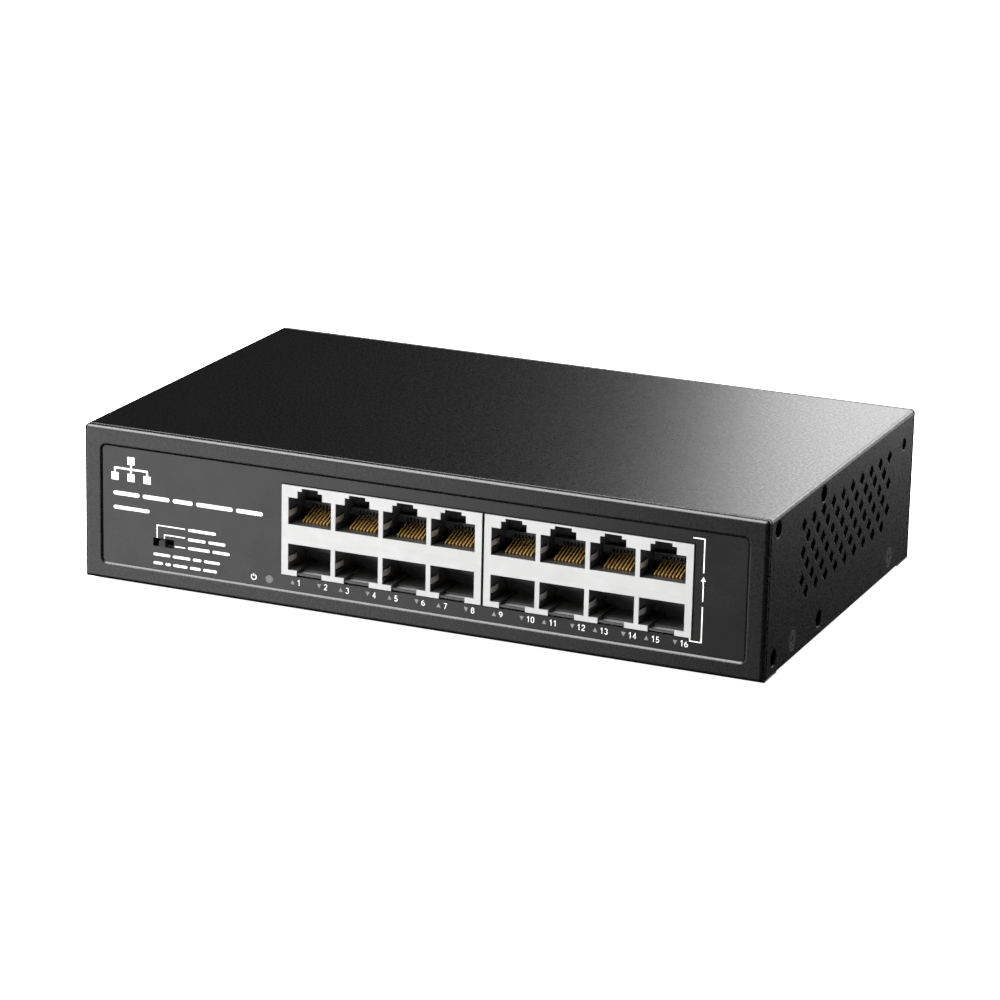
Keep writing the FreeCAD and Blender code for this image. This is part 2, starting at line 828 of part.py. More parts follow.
def port_cutters(block_index, start, length, notch_floor):
    """The stepped opening of each of a block's eight ports, cut to a depth from its face."""
    cutters = []
    for column in range(COLUMNS):
        centre = port_centre(block_index, column)
        levels = (
            (s.port_width, s.upper_floor, s.upper_shoulder),
            (s.step_one_width, s.upper_floor, s.step_one_top),
            (s.step_two_width, s.upper_floor, s.step_two_top),
            (s.port_width, s.lower_shoulder, s.lower_ceiling),
            (s.lower_notch_width, s.block_bottom + s.shield_sheet + notch_floor, s.lower_ceiling),
        )
        for width, low, high in levels:
            cutters.append(block("port_opening", (centre - width / 2, start, bottom + low),
                                 (width, length, high - low)))
    return cutters


def finger_places(block_index):
    """Port centre, side and underside of each spring finger of a block."""
    for column in range(COLUMNS):
        for sign in SIDES:
            for up in (s.lower_finger_up, s.upper_finger_up):
                yield port_centre(block_index, column), sign, bottom + up


def finger(centre, sign, low):
    """A spring finger of the shield: it starts at the face and bulges into the port from one side."""
    wall = s.port_width / 2
    bulges = ((0, as_size(0)), (s.finger_bend, s.finger_bulge), (s.finger_length, s.finger_end_bulge))
    inner = [(wall - bulge, depth) for depth, bulge in bulges]
    outer = [(across + s.finger_sheet, depth) for across, depth in reversed(inner)]
    body = new_body("finger")
    pad(body, "XY_Plane", low, s.finger_height,
        [(centre + sign * across, front + depth) for across, depth in inner + outer])
    return body


def jack_shield(block_index, name):
    """The stamped shell around a block: face with its port openings, sides, top, back and fingers."""
    left = block_centre(block_index) - s.block_width / 2
    low = bottom + s.block_bottom
    thin = s.shield_sheet
    border = s.underside_border
    shell = block("shield_blank", (left, front, low), (s.block_width, s.block_depth, s.block_height))
    inside = block("shield_inside", (left + thin, front + thin, low + thin),
                   (s.block_width - 2 * thin, s.block_depth - 2 * thin, s.block_height - 2 * thin))
    underside = block("shield_underside", (left + border, front + s.notch_floor_depth, low - s.overrun),
                      (s.block_width - 2 * border, s.block_depth - s.notch_floor_depth - border,
                       thin + 2 * s.overrun))
    openings = port_cutters(block_index, front - s.overrun, thin + s.overrun, as_size(0))
    for column in range(COLUMNS):
        notch_left = port_centre(block_index, column) - s.lower_notch_width / 2
        openings.append(block("notch_mouth", (notch_left, front - s.overrun, low - s.overrun),
                              (s.lower_notch_width, s.notch_sill_back + s.overrun, thin + 2 * s.overrun)))
    shield = cut("shield_shell", shell, [inside, underside] + openings)
    node(fuse(name, [shield] + [finger(*place) for place in finger_places(block_index)]))


def contact_comb(name, low, slot_low):
    """The toothed bar of a port between whose teeth the free ends of the contacts move."""
    width = s.port_width + 2 * s.housing_margin
    start = front + s.comb_front
    bar = block(name + "_bar", (-width / 2, start, low), (width, s.comb_depth, s.comb_height))
    slots = [block(name + "_slot",
                   (contact_offset(index) - s.comb_slot_width / 2, start - s.overrun, slot_low),
                   (s.comb_slot_width, s.comb_depth + 2 * s.overrun, s.comb_slot_height))
             for index in range(CONTACTS_PER_PORT)]
    return cut(name, bar, slots)


def contact_offset(index):
    return (index - (CONTACTS_PER_PORT - 1) / 2) * s.contact_pitch


def jack_housing(block_index, name):
    """The plastic block in a shield, with a cavity, a channel, finger pockets and a comb for each port.

    A thin floor covers each channel except at its mouth, where the contacts come up into the port."""
    margin = s.housing_margin
    left = block_centre(block_index) - s.block_width / 2 + margin
    low = bottom + s.block_bottom + margin
    solid = block("housing_blank", (left, front + margin, low),
                  (s.block_width - 2 * margin, s.housing_back - margin, s.block_height - 2 * margin))
    openings = port_cutters(block_index, front, s.port_depth, s.notch_floor_thick)
    for column in range(COLUMNS):
        centre = port_centre(block_index, column)
        corner = (centre - s.lower_notch_width / 2, front + s.notch_sill_back, low - s.overrun)
        openings.append(block("notch_lip", corner,
                              (s.lower_notch_width, s.notch_lip_back - s.notch_sill_back,
                               s.lower_shoulder - s.block_bottom - margin + s.overrun)))
        for channel_low, mouth_low in ((s.upper_floor - s.channel_depth, s.upper_floor - s.channel_depth),
                                       (s.lower_ceiling + s.channel_cover, s.lower_ceiling - margin)):
            channel_left = centre - s.channel_width / 2
            channel_start = front + s.channel_front
            openings.append(block("contact_channel", (channel_left, channel_start, bottom + channel_low),
                                  (s.channel_width, s.housing_back, s.channel_depth - s.channel_cover)))
            openings.append(block("channel_mouth", (channel_left, channel_start, bottom + mouth_low),
                                  (s.channel_width, s.channel_mouth, s.channel_depth + margin)))
    for centre, sign, finger_low in finger_places(block_index):
        wall = centre + sign * s.port_width / 2
        openings.append(block("finger_pocket",
                              (wall - s.pocket_depth, front, finger_low - s.pocket_margin),
                              (2 * s.pocket_depth, s.finger_length + s.pocket_margin,
                               s.finger_height + 2 * s.pocket_margin)))
    hollowed = cut("hollowed_housing", solid, openings)

    upper_low = bottom + s.upper_floor + s.comb_lift
    lower_low = bottom + s.lower_ceiling - s.comb_lift - s.comb_height
    upper_comb = contact_comb("upper_comb", upper_low, upper_low)
    lower_comb = contact_comb("lower_comb", lower_low, lower_low + s.comb_height - s.comb_slot_height)
    places = [shift(port_centre(block_index, column)) for column in range(COLUMNS)]
    combs = [copies(name + "_combs", unit, places) for unit in (upper_comb, lower_comb)]
    node(fuse(name, [hollowed] + combs))


def contact_strip(name, floor_level, direction, leg_back):
    """A bent contact: tail on the board, leg along the channel, then a sloping spring in the port.

    direction is 1 for a port with its contacts below, and -1 for one with its contacts above."""
    thick = s.contact_thick
    half_width = s.contact_width / 2
    spring = floor_level + direction * s.contact_lift
    tip = spring + direction * s.contact_rise
    start = front + s.contact_front
    point = front + s.contact_tip
    back = front + leg_back
    leg_near = floor_level - direction * (s.channel_depth - thick) / 2
    leg_far = leg_near - direction * thick
    bent_part = [
        (start, leg_far), (start, spring + direction * thick), (point, tip + direction * thick), (point, tip),
        (start + thick, spring), (start + thick, leg_near),
    ]
    tail = [(back - thick, board_top), (back, board_top)]
    if direction > 0:
        outline = tail + [(back, leg_near)] + bent_part[::-1] + [(back - thick, leg_far)]
    else:
        outline = tail + [(back, leg_far)] + bent_part + [(back - thick, leg_near)]
    body = new_body(name)
    pad(body, "YZ_Plane", -half_width, s.contact_width, outline)

    def spring_edge(edge):
        box = edge.BoundBox
        slopes = box.YLength > s.contact_rise.number and box.ZLength > s.contact_rise.number / 2
        return slopes and (near(box.XMin, half_width) or near(box.XMax, -half_width))

    round_edges(body, s.contact_edge, spring_edge)
    return body


def jack_contacts(block_index, name):
    upper = contact_strip("upper_contact", bottom + s.upper_floor, 1, s.upper_leg_back)
    lower = contact_strip("lower_contact", bottom + s.lower_ceiling, -1, s.lower_leg_back)
    places = [shift(port_centre(block_index, column) + contact_offset(index))
              for column in range(COLUMNS) for index in range(CONTACTS_PER_PORT)]
    rows = [copies(name + "_row", unit, places) for unit in (upper, lower)]
    node(group(name, rows))


# ---- Lamps ----

def light_guide(block_index, name):
    """Eight clear fingers behind the label's windows, on one bar in front of the board."""
    centres = lamp_centres(block_index)
    bar_front = front + s.guide_bar_back - s.guide_bar_thick
    start = front + s.recess_depth + s.screw_head_gap
    fingers = [rod("lamp_finger", (centre, start, bottom + s.lamp_up), s.lamp_radius,
                   bar_front - start + s.guide_bar_thick / 2, "y") for centre in centres]
    bar = block("lamp_bar", (centres[0] - s.guide_bar_end, bar_front, bottom + s.board_up - s.guide_bar_drop),
                (centres[-1] - centres[0] + 2 * s.guide_bar_end, s.guide_bar_thick, s.guide_bar_height))
    node(fuse(name, [bar] + fingers))


def lamps():
    light_guide(0, "left_light_guide")
    light_guide(1, "right_light_guide")
    node(rod("power_light_guide", (s.power_lamp_along, front + s.recess_depth - s.label_thick,
                                   bottom + s.power_lamp_up), s.power_lamp_radius,
             s.power_guide_length, "y"))
    low = bottom + s.board_up - s.led_height
    places = [s.power_lamp_along] + lamp_centres(0) + lamp_centres(1)
    depth = front + s.main_board_front + s.led_set_back
    led_size = (s.led_length, s.led_width, s.led_height)
    node(group("lamp_leds", [middle_block("lamp_led", (along, depth, low), led_size) for along in places]))


def mode_pin_along(index):
    return s.mode_along + (index - (MODE_PINS - 1) / 2) * s.mode_pin_pitch


# ---- Mode switch ----

def mode_switch():
    """A right-angle slide switch on the main board: base, metal frame, pins, slider and wiper."""
    centre = s.mode_along
    up = bottom + s.mode_up
    face = front + s.mode_front
    back = front + s.mode_back
    inside_face = face + s.mode_sheet
    inside_top = bottom + s.mode_top - s.mode_sheet
    inside_length = s.mode_length - 2 * s.mode_sheet
    base = middle_block("mode_base_blank", (centre, (inside_face + back) / 2, board_top),
                        (inside_length, back - inside_face, inside_top - board_top))
    channel_length = s.slider_length + 2 * (s.mode_travel + s.slider_end_gap)
    channel = block("mode_channel",
                    (centre - channel_length / 2, face, up - s.slider_height / 2 - s.slider_gap),
                    (channel_length, s.mode_sheet + s.slider_thick + s.channel_back_gap,
                     s.slider_height + 2 * s.slider_gap))
    node(cut("mode_switch_base", base, [channel]))

    shell = middle_block("mode_frame_blank", (centre, (face + back) / 2, board_top),
                         (s.mode_length, back - face, bottom + s.mode_top - board_top))
    hollow = block("mode_frame_inside", (centre - inside_length / 2, inside_face, board_top - s.overrun),
                   (inside_length, back - inside_face + s.overrun, inside_top - board_top + s.overrun))
    half_opening = s.knob_size / 2 + s.knob_clearance
    opening = block("mode_frame_slot",
                    (centre - s.mode_travel - half_opening, face - s.overrun, up - half_opening),
                    (2 * (s.mode_travel + half_opening), s.mode_sheet + 2 * s.overrun, 2 * half_opening))
    node(cut("mode_switch_frame", shell, [hollow, opening]))
    pin_low = bottom + s.board_up - s.mode_pin_below
    node(group("mode_switch_pins", [
        rod("mode_pin", (mode_pin_along(index), front + s.mode_pin_depth, pin_low),
            s.mode_pin_radius, s.board_thick + s.mode_pin_below) for index in range(MODE_PINS)]))

    slider_front = inside_face + s.slider_gap
    slider = middle_block("slider_body",
                          (centre, slider_front + s.slider_thick / 2, up - s.slider_height / 2),
                          (s.slider_length, s.slider_thick, s.slider_height))
    knob_front = front - s.knob_stand_out
    knob_body = plate("knob", "XZ_Plane", knob_front, slider_front - knob_front + s.slider_thick / 2,
                      box_outline(centre - s.knob_size / 2, up - s.knob_size / 2, s.knob_size, s.knob_size),
                      s.knob_edge)
    node(fuse("mode_slider", [slider, knob_body]))
    wiper_middle = slider_front + s.slider_thick + s.wiper_thick / 2
    node(middle_block("mode_slider_wiper", (centre, wiper_middle, up - s.wiper_height / 2),
                      (s.wiper_length, s.wiper_thick, s.wiper_height)))


# ---- Boards ----

def board(name, left, width, first, last, fixings, more_holes):
    low = bottom + s.board_up
    blank = block(name + "_blank", (left, front + first, low), (width, last - first, s.board_thick))
    holes = [rod("fixing_hole", (along, depth, low - s.overrun), s.board_hole_radius,
                 s.board_thick + 2 * s.overrun) for along, depth in fixings]
    node(cut(name, blank, holes + more_holes))


def board_fixings():
    """Standoffs on the case bottom for both boards, and a pan-head screw in each."""
    floor = bottom + s.sheet
    height = s.board_up - s.sheet
    standoffs = []
    screws = []
    for along, depth in main_board_fixings() + power_board_fixings():
        post = rod("post", (along, depth, floor), s.standoff_radius, height)
        bore = rod("bore", (along, depth, floor + s.standoff_base), s.screw_hole_radius, height)
        standoffs.append(cut("standoff", post, [bore]))
        head = rod("pan_head", (along, depth, board_top), s.board_screw_head_radius, s.board_screw_head)
        shank = rod("shank", (along, depth, board_top - s.board_screw_length), s.screw_radius,
                    s.board_screw_length)
        crosses = cross_cutters("cross", along, depth, board_top + s.board_screw_head - s.cross_depth)
        screws.append(cut("board_screw", fuse("board_screw_blank", [head, shank]), crosses))
    node(group("board_standoffs", standoffs))
    node(group("board_screws", screws))


def main_board():
    pin_holes = [rod("pin_hole", (mode_pin_along(index), front + s.mode_pin_depth,
                                  bottom + s.board_up - s.overrun), s.mode_pin_hole_radius,
                     s.board_thick + 2 * s.overrun) for index in range(MODE_PINS)]
    board("main_board", -s.main_board_width / 2, s.main_board_width, s.main_board_front,
          s.main_board_back, main_board_fixings(), pin_holes)


def main_board_parts():
    """What sits on the main board behind the jacks."""
    for index in range(2 * COLUMNS):
        column = index % COLUMNS - (COLUMNS - 1) / 2
        node(board_part("port_transformer", f"port_transformer_{index + 1}",
                        block_centre(index // COLUMNS) + column * s.transformer_pitch))
    for name in ("switch_chip", "thermal_pad", "flash_chip", "crystal"):
        node(board_part(name))
    fins = [board_part("sink_fin", along=(index - (SINK_FINS - 1) / 2) * s.sink_fin_pitch)
            for index in range(SINK_FINS)]
    node(fuse("switch_chip_heatsink", [board_part("sink_base")] + fins))
    node(group("board_inductors", [board_part("board_inductor", depth=sign * s.inductor_spacing / 2)
                                   for sign in SIDES]))
    node(group("board_capacitors", capacitors("board_capacitor")))


def capacitors(kind):
    """Radial capacitors: cans with a pressed groove near the board."""
    radius, height = sizes_of(kind, "radius", "height")
    cans = []
    for along, depth in CAPACITOR_PLACES[kind]:
        can = rod(kind + "_can", (as_size(along), front + depth, board_top), radius, height)
        ring = ring_part(kind + "_groove", radius + s.groove_radius / 2, s.groove_radius,
                         (as_size(along), front + depth, board_top + s.groove_up), "z")
        cans.append(cut(kind, can, [ring]))
    return cans


def ring_part(name, radius, wire_radius, at, axis):
    item = doc.addObject("Part::Torus", name)
    bind(item, "Radius1", radius)
    bind(item, "Radius2", wire_radius)
    put(item, at, TURN[axis])
    return item


def power_board():
    """The board of the mains supply, and the insulating sheet between it and the case."""
    board("power_board", s.power_board_left, s.power_board_width, s.power_board_front,
          s.power_board_back, power_board_fixings(), [])
    margin = s.insulator_margin
    blank = block("insulator_blank", (s.power_board_left - margin / 2, front + s.power_board_front - margin,
                                      bottom + s.insulator_up),
                  (s.power_board_width + margin, s.power_board_back - s.power_board_front + 2 * margin,
                   s.insulator_thick))
    holes = [rod("insulator_hole", (along, depth, bottom + s.sheet), s.standoff_radius + 2 * s.fit_gap,
                 s.insulator_up + s.overrun) for along, depth in power_board_fixings()]
    node(cut("insulating_sheet", blank, holes))


def power_board_parts():
    """The parts of the mains supply, on the power board."""
    fuse_depth = front + s.fuse_depth
    fuse_up = board_top + s.fuse_up
    tube_piece = rod("fuse_tube", (s.fuse_left, fuse_depth, fuse_up), s.fuse_radius, s.fuse_length, "x")
    caps = [rod("fuse_cap", (s.fuse_left + offset, fuse_depth, fuse_up), s.fuse_cap_radius,
                s.fuse_cap_length, "x") for offset in (as_size(0), s.fuse_length - s.fuse_cap_length)]
    legs = [board_part("fuse_leg", along=sign * s.fuse_leg_spread / 2) for sign in SIDES]
    node(fuse("mains_fuse", [tube_piece] + caps + legs))
    node(rod("varistor", (s.varistor_left, front + s.varistor_depth, board_top + s.varistor_radius),
             s.varistor_radius, s.varistor_thick, "x"))
    choke = ring_part("choke_ring", s.choke_radius, s.choke_wire_radius,
                      (s.choke_base_along, front + s.choke_base_depth, board_top + s.choke_up), "y")
    node(fuse("line_choke", [choke, board_part("choke_base")]))
    for name in ("mains_capacitor", "bridge_rectifier", "power_transistor", "transformer_coil"):
        node(board_part(name))
    node(*capacitors("bulk_capacitor"))
    node(group("output_capacitors", capacitors("output_capacitor")))
    ribs = [board_part("transistor_sink_rib", along=(index - (SINK_RIBS - 1) / 2) * s.sink_rib_pitch)
            for index in range(SINK_RIBS)]
    node(fuse("transistor_heatsink", [board_part("transistor_sink_plate")] + ribs))
    node(cut("transformer_core", board_part("transformer_core_blank"), [board_part("transformer_window")]))
    node(cut("transformer_bobbin", board_part("bobbin_foot"), [board_part("bobbin_slot")]))


def dc_link():
    """Two wires between the boards, with a header and a plug at each end."""
    ends = (s.wire_main_depth, s.wire_power_depth)
    plug_up = board_top + s.header_height
    wire_low = plug_up + s.plug_height
    wires = []
    for index in (0, 1):
        along = s.wire_first_along + index * s.wire_spacing
        points = [(along, front + s.wire_power_depth, wire_low),
                  (along, front + s.wire_power_depth, wire_low + s.wire_rise),
                  (along, front + s.wire_main_depth, wire_low + s.wire_rise),
                  (along, front + s.wire_main_depth, wire_low)]
        wires.append(tube("dc_wire", points, s.wire_radius))
    node(group("dc_wires", wires))
    middle = s.wire_first_along + s.wire_spacing / 2
    node(group("dc_headers", [middle_block("dc_header", (middle, front + depth, board_top),
                                           (s.header_length, s.header_width, s.header_height))
                              for depth in ends]))
    node(group("dc_plugs", [middle_block("dc_plug", (middle, front + depth, plug_up),
                                         (s.plug_length, s.plug_width, s.plug_height)) for depth in ends]))


def tube(name, points, radius):
    """A round wire along straight runs joined by tangent arcs as large as the runs allow."""
    corners = [FreeCAD.Vector(*(as_size(value).number for value in point)) for point in points]
    edges = []
    here = corners[0]
    for before, corner, after in zip(corners, corners[1:], corners[2:]):
        back = (before - corner).normalize()
        ahead = (after - corner).normalize()
        reach = ARC_REACH * min(before.distanceToPoint(corner), after.distanceToPoint(corner))
        start = corner + back * reach
        end = corner + ahead * reach
        bisector = (back + ahead).normalize()
        centre_distance = reach / back.dot(bisector)
        arc_radius = (centre_distance ** 2 - reach ** 2) ** 0.5
        middle = corner + bisector * (centre_distance - arc_radius)
        edges.append(Part.LineSegment(here, start).toShape())
        edges.append(Part.Arc(start, middle, end).toShape())
        here = end
    edges.append(Part.LineSegment(here, corners[-1]).toShape())
    path = Part.Wire(edges)
    wire_radius = as_size(radius).number
    section = Part.Wire([Part.makeCircle(wire_radius, corners[0], corners[1] - corners[0])])
    item = doc.addObject("Part::Feature", name)
    item.Shape = path.makePipeShell([section], True, True)
    expected = math.pi * wire_radius ** 2 * path.Length
    if abs(item.Shape.Volume - expected) > VOLUME_TOLERANCE * expected:
        raise RuntimeError(f"{name} has the wrong volume")
    return item


# ---- Rear ----

def inlet():
    """A mains inlet of the C14 pattern: flange outside, body inside, three flat pins bent to the board."""
    along, up = s.inlet_along, bottom + s.inlet_up
    flange = plate("inlet_flange", "XZ_Plane", rear, s.flange_thick,
                   box_outline(along - s.flange_width / 2, up - s.flange_tall / 2, s.flange_width,
                               s.flange_tall), s.flange_corner)
    back = rear - s.inlet_depth
    inner = block("inlet_inner", (along - s.inlet_width / 2, back, up - s.inlet_tall / 2),
                  (s.inlet_width, s.inlet_depth, s.inlet_tall))
    left = along - s.socket_width / 2
    low = up - s.socket_tall / 2
    corner = s.socket_corner
    socket = new_body("socket_hollow")
    pad(socket, "XZ_Plane", rear + s.flange_thick - s.socket_depth, s.socket_depth + s.overrun, [
        (left, low), (left + s.socket_width, low), (left + s.socket_width, low + s.socket_tall - corner),
        (left + s.socket_width - corner, low + s.socket_tall), (left + corner, low + s.socket_tall),
        (left, low + s.socket_tall - corner)])
    tip = rear + s.flange_thick - s.pin_recess
    slots = []
    pins = []
    for offset, raised in ((-s.pin_spread, -1), (as_size(0), 1), (s.pin_spread, -1)):
        pin_left = along + offset - s.pin_width / 2
        middle = up + raised * s.pin_raise
        pin_low = middle - s.pin_tall / 2
        slots.append(block("pin_slot", (pin_left, back - s.overrun, pin_low),
                           (s.pin_width, s.pin_slot_depth + s.overrun, s.pin_tall)))
        blade = block("pin_blade", (pin_left, back - s.pin_back, pin_low),
                      (s.pin_width, tip - back + s.pin_back, s.pin_tall))
        leg = block("pin_leg", (pin_left, back - s.pin_back, board_top),
                    (s.pin_width, s.pin_leg_thick, middle - board_top))
        pins.append(fuse("inlet_pin", [blade, leg]))
    node(cut("inlet_body", fuse("inlet_blank", [flange, inner]), [socket] + slots))
    node(group("inlet_pins", pins))


def earth_screw():
    along, up = s.earth_along, bottom + s.earth_up
    washer = rod("washer_disc", (along, rear, up), s.washer_radius, s.washer_thick, "y")
    bore = rod("washer_bore", (along, rear - s.overrun, up), s.earth_hole_radius,
               s.washer_thick + 2 * s.overrun, "y")
    node(cut("earth_washer", washer, [bore]))
    head_start = rear + s.washer_thick
    head = rod("earth_head", (along, head_start, up), s.earth_head_radius, s.earth_head, "y")
    shank = rod("earth_shank", (along, head_start - s.earth_length, up), s.earth_radius, s.earth_length, "y")
    floor = head_start + s.earth_head - s.cross_depth
    crosses = [block("cross", (along - wide / 2, floor, up - tall / 2),
                     (wide, s.cross_depth + s.overrun, tall))
               for wide, tall in ((s.earth_cross_length, s.earth_cross_width),
                                  (s.earth_cross_width, s.earth_cross_length))]
    node(cut("earth_screw", fuse("earth_screw_blank", [head, shank]), crosses))


# ---- Assembly ----

base_chassis()
top_cover()
cover_screws()
front_label()
rubber_feet()
for index, place_name in enumerate(("left", "right")):
    jack_shield(index, f"{place_name}_jack_shield")
    jack_housing(index, f"{place_name}_jack_housing")
    jack_contacts(index, f"{place_name}_jack_contacts")
lamps()
mode_switch()
main_board()
main_board_parts()
power_board()
board_fixings()
power_board_parts()
dc_link()
inlet()
earth_screw()
doc.recompute()

for item in doc.Objects:
    if "Invalid" in item.State or "Error" in item.State:
        raise RuntimeError(f"{item.Label} failed: {item.State}")
for label, item in nodes.items():
    if item.Shape.isNull() or not item.Shape.isValid():
        raise RuntimeError(f"{label} has no valid shape")

os.makedirs("parts", exist_ok=True)
for label, item in nodes.items():
    item.Shape.exportStep(f"parts/{label}.step")
    print(label, len(item.Shape.Solids), "solid(s)", round(item.Shape.Volume, 1), "mm3")
print(len(nodes), "nodes")
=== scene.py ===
import math

import bmesh
import bpy
from mathutils import Matrix, Vector


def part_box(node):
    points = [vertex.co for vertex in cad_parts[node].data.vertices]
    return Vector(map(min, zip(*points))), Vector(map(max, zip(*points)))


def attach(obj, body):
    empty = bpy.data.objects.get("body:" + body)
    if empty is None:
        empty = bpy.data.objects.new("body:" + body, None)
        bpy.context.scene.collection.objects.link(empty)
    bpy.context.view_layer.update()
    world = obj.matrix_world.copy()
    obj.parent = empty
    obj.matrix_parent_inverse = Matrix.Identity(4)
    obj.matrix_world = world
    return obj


# The looks of a 16-port desktop network switch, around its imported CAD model: a finish for every material
# slot, the marks printed on the label and beside the earth screw, the camera and the studio. Lengths are in
# metres, and MM turns millimetres into them.

MM = 0.001

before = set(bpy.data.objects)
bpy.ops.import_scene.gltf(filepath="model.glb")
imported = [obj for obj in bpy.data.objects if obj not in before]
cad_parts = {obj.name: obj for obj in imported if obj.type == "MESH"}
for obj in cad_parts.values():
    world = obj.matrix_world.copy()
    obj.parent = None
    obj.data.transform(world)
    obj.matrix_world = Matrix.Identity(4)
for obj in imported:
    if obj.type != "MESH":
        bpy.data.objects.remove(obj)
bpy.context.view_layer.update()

label_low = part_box("front_label")[0]
case_low, case_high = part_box("base_chassis")
foot_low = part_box("rubber_feet")[0]

LABEL_FACE = label_low.y
CASE_BOTTOM = case_low.z
REAR_FACE = case_high.y
FOOT_LEVEL = foot_low.z


# ---- Node trees ----

SMOOTHEST = 0.02
NOISE_DETAIL = 3.0


class Finish:
    """One material's node tree, with short calls that add and join its nodes."""

    def __init__(self, name, colour, roughness, metallic=0.0):
        self.material = bpy.data.materials.new(name)
        self.material.use_nodes = True
        self.tree = self.material.node_tree
        self.shader = self.tree.nodes["Principled BSDF"]
        self.colour = colour
        self.roughness = roughness
        self.place = self.add("ShaderNodeTexCoord").outputs["Object"]
        self.normal = None
        self.set("Metallic", metallic)

    def add(self, kind, **values):
        node = self.tree.nodes.new(kind)
        for name, value in values.items():
            setattr(node, name, value)
        return node

    def join(self, output, socket):
        self.tree.links.new(output, socket)

    def set(self, socket, value):
        self.shader.inputs[socket].default_value = value

    def noise(self, size, stretch=(1, 1, 1)):
        """Noise whose grains are about the given size, longer along the axes with a stretch above 1."""
        mapping = self.add("ShaderNodeMapping")
        mapping.inputs["Scale"].default_value = [1 / factor for factor in stretch]
        self.join(self.place, mapping.inputs["Vector"])
        noise = self.add("ShaderNodeTexNoise")
        noise.inputs["Scale"].default_value = 1 / size
        noise.inputs["Detail"].default_value = NOISE_DETAIL
        self.join(mapping.outputs["Vector"], noise.inputs["Vector"])
        return noise.outputs["Fac"]

    def spots(self, size, feature="F1"):
        """Cells of about the given size; the feature says which distance in them is read."""
        cells = self.add("ShaderNodeTexVoronoi", feature=feature)
        cells.inputs["Scale"].default_value = 1 / size
        self.join(self.place, cells.inputs["Vector"])
        return cells.outputs["Distance"]

    def spread(self, factor, low, high, start=0.3, end=0.7):
        """The factor mapped from start..end to low..high. Most noise lies in the usual start..end."""
        node = self.add("ShaderNodeMapRange")
        for name, value in (("From Min", start), ("From Max", end), ("To Min", low), ("To Max", high)):
            node.inputs[name].default_value = value
        self.join(factor, node.inputs["Value"])
        return node.outputs["Result"]

    def blend(self, factor, first, second):
        """One colour where the factor is 0 and the other where it is 1."""
        node = self.add("ShaderNodeMix", data_type="RGBA")
        node.inputs["A"].default_value = (*first, 1)
        node.inputs["B"].default_value = (*second, 1)
        self.join(factor, node.inputs["Factor"])
        return node.outputs["Result"]

    def vary_colour(self, factor, amount):
        """The base colour, lighter and darker by that share of itself."""
        darker = [channel * (1 - amount) for channel in self.colour]
        lighter = [min(channel * (1 + amount), 1) for channel in self.colour]
        self.join(self.blend(self.spread(factor, 0, 1), darker, lighter), self.shader.inputs["Base Color"])

    def vary_roughness(self, factor, amount):
        """The roughness, higher and lower by that amount."""
        low = max(self.roughness - amount, SMOOTHEST)
        self.join(self.spread(factor, low, self.roughness + amount), self.shader.inputs["Roughness"])

    def paint_shade_in_hollows(self, reach, dark):
        """Painted shade: turn the base colour towards a dark one where walls within that reach close in on a
        point.
        """
        occlusion = self.add("ShaderNodeAmbientOcclusion", samples=8)
        occlusion.inputs["Distance"].default_value = reach
        mix = self.add("ShaderNodeMix", data_type="RGBA")
        mix.inputs["A"].default_value = (*dark, 1)
        self.join(self.shader.inputs["Base Color"].links[0].from_socket, mix.inputs["B"])
        openness = self.spread(occlusion.outputs["AO"], 0, 1, start=0.4, end=0.9)
        self.join(openness, mix.inputs["Factor"])
        self.join(mix.outputs["Result"], self.shader.inputs["Base Color"])

    def soften_edges(self, radius):
        """Let sharp edges catch the light as if they were rounded to that radius."""
        node = self.add("ShaderNodeBevel", samples=6)
        node.inputs["Radius"].default_value = radius
        self.normal = node.outputs["Normal"]

    def bump(self, height, depth, strength=1.0):
        """A relief of that depth; several of them add up."""
        node = self.add("ShaderNodeBump")
        node.inputs["Strength"].default_value = strength
        node.inputs["Distance"].default_value = depth
        self.join(height, node.inputs["Height"])
        if self.normal:
            self.join(self.normal, node.inputs["Normal"])
        self.normal = node.outputs["Normal"]
        self.join(self.normal, self.shader.inputs["Normal"])


def moulded(name, colour, roughness):
    """A moulded plastic: fine spark-eroded texture, and gloss that varies with the flow of the melt."""
    finish = Finish(name, colour, roughness)
    finish.vary_colour(finish.noise(4 * MM), 0.15)
    finish.vary_roughness(finish.noise(7 * MM), 0.07)
    finish.bump(finish.noise(0.25 * MM), 0.006 * MM, 0.5)
    return finish


def plated(name, colour, roughness, stretch=(6, 1, 1)):
    """Plated sheet metal, with the faint lines that rolling leaves."""
    finish = Finish(name, colour, roughness, metallic=1.0)
    finish.vary_colour(finish.noise(6 * MM), 0.04)
    finish.vary_roughness(finish.noise(1.5 * MM, stretch=stretch), 0.06)
    finish.bump(finish.noise(0.2 * MM, stretch=stretch), 0.002 * MM, 0.4)
    return finish


# ---- Finishes: one for each material slot of the record, and the inks ----

def black_powder_coat():
    """Satin black powder coat: an orange peel of fine grains over longer waves."""
    finish = Finish("black_powder_coat", (0.0018, 0.0018, 0.0019), 0.29)
    finish.soften_edges(0.5 * MM)
    finish.vary_colour(finish.noise(18 * MM), 0.12)
    finish.vary_roughness(finish.noise(0.8 * MM), 0.05)
    finish.bump(finish.noise(2.2 * MM), 0.006 * MM, 0.4)
    finish.bump(finish.noise(0.4 * MM), 0.010 * MM, 0.6)
    return finish


def label_film():
    """A printed polycarbonate film: smoother than the case, with a faint fine texture."""
    finish = Finish("label_film", (0.004, 0.004, 0.0042), 0.27)
    finish.vary_colour(finish.noise(25 * MM), 0.08)
    finish.vary_roughness(finish.noise(10 * MM), 0.03)
    finish.bump(finish.noise(0.3 * MM), 0.003 * MM, 0.5)
    return finish


